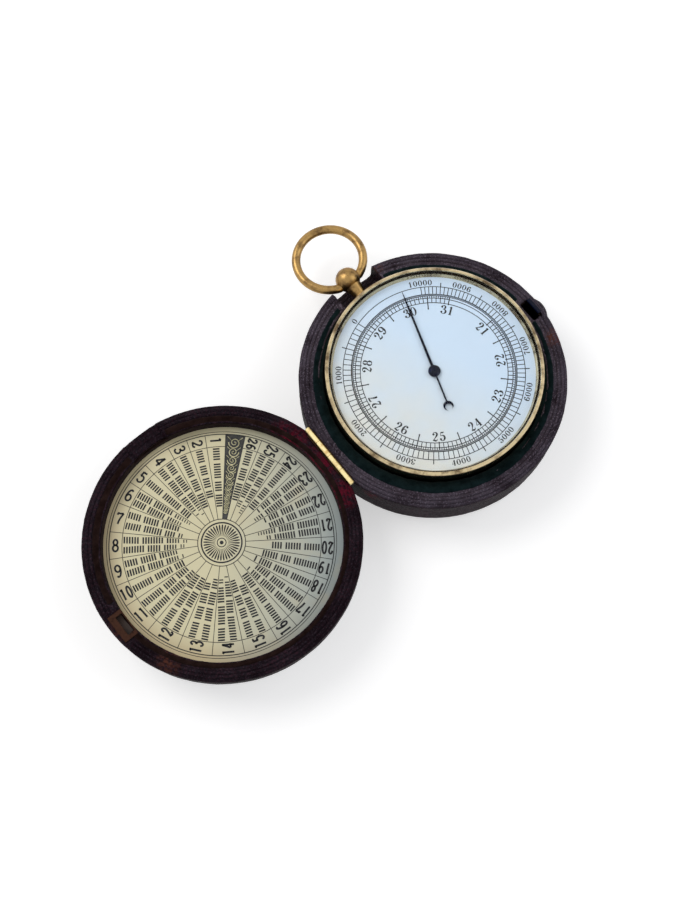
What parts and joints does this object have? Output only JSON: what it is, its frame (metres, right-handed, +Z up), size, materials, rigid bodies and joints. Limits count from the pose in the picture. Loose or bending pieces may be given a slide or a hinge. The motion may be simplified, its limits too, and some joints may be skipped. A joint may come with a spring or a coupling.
{
  "type": "pocket barometer",
  "caption": "Watch-form pocket aneroid barometer with a revolving altitude scale, lying in an open round clam-shell leather case.",
  "frame": {"origin": "centre of the base case's flat underside", "axes": "+Z up out of the dial, +X from the hinge to the push-button, +Y out along the pendant; the lid lies open at -X"},
  "size_m": [0.1196, 0.0758, 0.0165],
  "materials": {
    "leather": "dark maroon grained hide, satin",
    "board": "bare board",
    "card": "card",
    "velvet_green": "dark green pile",
    "velvet_brown": "very dark brown pile",
    "pale_brass": "polished",
    "aged_brass": "worn gilt",
    "bright_brass": "polished",
    "steel": "polished",
    "blued_steel": "blued",
    "silvered": "silvered matt",
    "nickel_silver": "satin",
    "glass": "clear",
    "ivorine": "ivory, satin"
  },
  "bodies": {
    "base": {"base_board": "board", "base_bottom_leather": "leather", "base_band_leather": "leather", "base_velvet": "velvet_green", "hinge_leaf_base": "pale_brass", "hinge_pin": "pale_brass", "hinge_rivets_base": "pale_brass", "latch_pin": "steel", "instrument_cup": "aged_brass", "pendant": "aged_brass", "cup_screws": "steel", "dial_plate": "silvered", "dial_feet": "bright_brass", "movement_plate": "bright_brass", "aneroid_capsule": "nickel_silver", "spring_bracket": "bright_brass", "bracket_screws": "steel", "spring_pivot_pin": "steel", "rocker_standards": "bright_brass", "standard_screws": "steel", "arbor_bridge": "bright_brass", "bridge_screws": "steel", "hairspring": "blued_steel", "hairspring_stud": "bright_brass", "chain": "bright_brass"},
    "lid": {"lid_board": "board", "lid_top_leather": "leather", "lid_band_leather": "leather", "lid_velvet": "velvet_brown", "forecaster_disc": "ivorine", "disc_card": "card", "hinge_leaf_lid": "pale_brass", "hinge_rivets_lid": "pale_brass", "striker_plate": "bright_brass", "striker_pins": "bright_brass"},
    "catch": {"latch": "blued_steel"},
    "button": {"push_button": "bright_brass", "button_leather": "leather"},
    "bow": {"bow_ring": "aged_brass"},
    "bezel_group": {"bezel": "bright_brass", "glass": "glass", "altitude_ring": "silvered"},
    "hand_group": {"arbor": "steel", "hand": "blued_steel", "hand_boss": "blued_steel"},
    "rocker": {"rocking_shaft": "steel"},
    "lever_group": {"mainspring": "blued_steel", "capsule_post": "bright_brass", "post_nut": "bright_brass", "main_lever": "steel", "compensating_strip": "bright_brass", "lever_screw": "steel"},
    "link": {"link_rod": "steel"},
    "adjuster": {"adjusting_screw": "steel"}
  },
  "joints": [
    {"name": "lid_hinge", "type": "hinge", "parent": "base", "child": "lid", "pos_m": [-0.02915, 0, 0.0136], "axis": [0, 1, 0], "range_deg": [0, 180]},
    {"name": "bow_swing", "type": "hinge", "parent": "base", "child": "bow", "pos_m": [0.0005, 0.03, 0.01], "axis": [1, 0, 0], "range_deg": [-28, 80]},
    {"name": "bezel_turn", "type": "hinge", "parent": "base", "child": "bezel_group", "pos_m": [0.0005, 0.0004, 0.014], "axis": [0, 0, 1], "continuous": true},
    {"name": "button_press", "type": "slide", "parent": "base", "child": "button", "axis": [-1, 0, 0], "range_m": [0, 0.0005], "stiffness_N_per_m": 150, "springref_m": -0.002},
    {"name": "catch_rock", "type": "hinge", "parent": "base", "child": "catch", "pos_m": [0.02722, -0.0016, 0.0034], "axis": [0, -1, 0], "range_deg": [0, 5.51]},
    {"name": "hand_turn", "type": "hinge", "parent": "base", "child": "hand_group", "pos_m": [0.0005, 0.0004, 0.014], "axis": [0, 0, 1], "range_deg": [-32.6, 292.7]},
    {"name": "rocker_rock", "type": "hinge", "parent": "base", "child": "rocker", "pos_m": [0.0005, -0.0141, 0.007], "axis": [1, 0, 0], "range_deg": [-4.72, 42.33]},
    {"name": "mainspring_flex", "type": "hinge", "parent": "base", "child": "lever_group", "pos_m": [0.0005, 0.0134, 0.0086], "axis": [-1, 0, 0], "range_deg": [-0.21, 1.87], "stiffness_Nm_per_rad": 0.2, "springref_deg": 0.02},
    {"name": "link_lift", "type": "slide", "parent": "base", "child": "link", "axis": [0, 0, 1], "range_m": [-0.000106, 0.000871]},
    {"name": "adjuster_turn", "type": "hinge", "parent": "base", "child": "adjuster", "pos_m": [0.0107, 0.0134, 0.004], "axis": [0, 0, 1], "range_deg": [-180, 180]}
  ],
  "couplings": [
    {"joint": "catch_rock", "follows": "button_press", "rad_per_m": 191.72},
    {"joint": "hand_turn", "follows": "mainspring_flex", "ratio": 156.26},
    {"joint": "rocker_rock", "follows": "mainspring_flex", "ratio": 22.598},
    {"joint": "link_lift", "follows": "mainspring_flex", "m_per_rad": 0.026363}
  ]
}
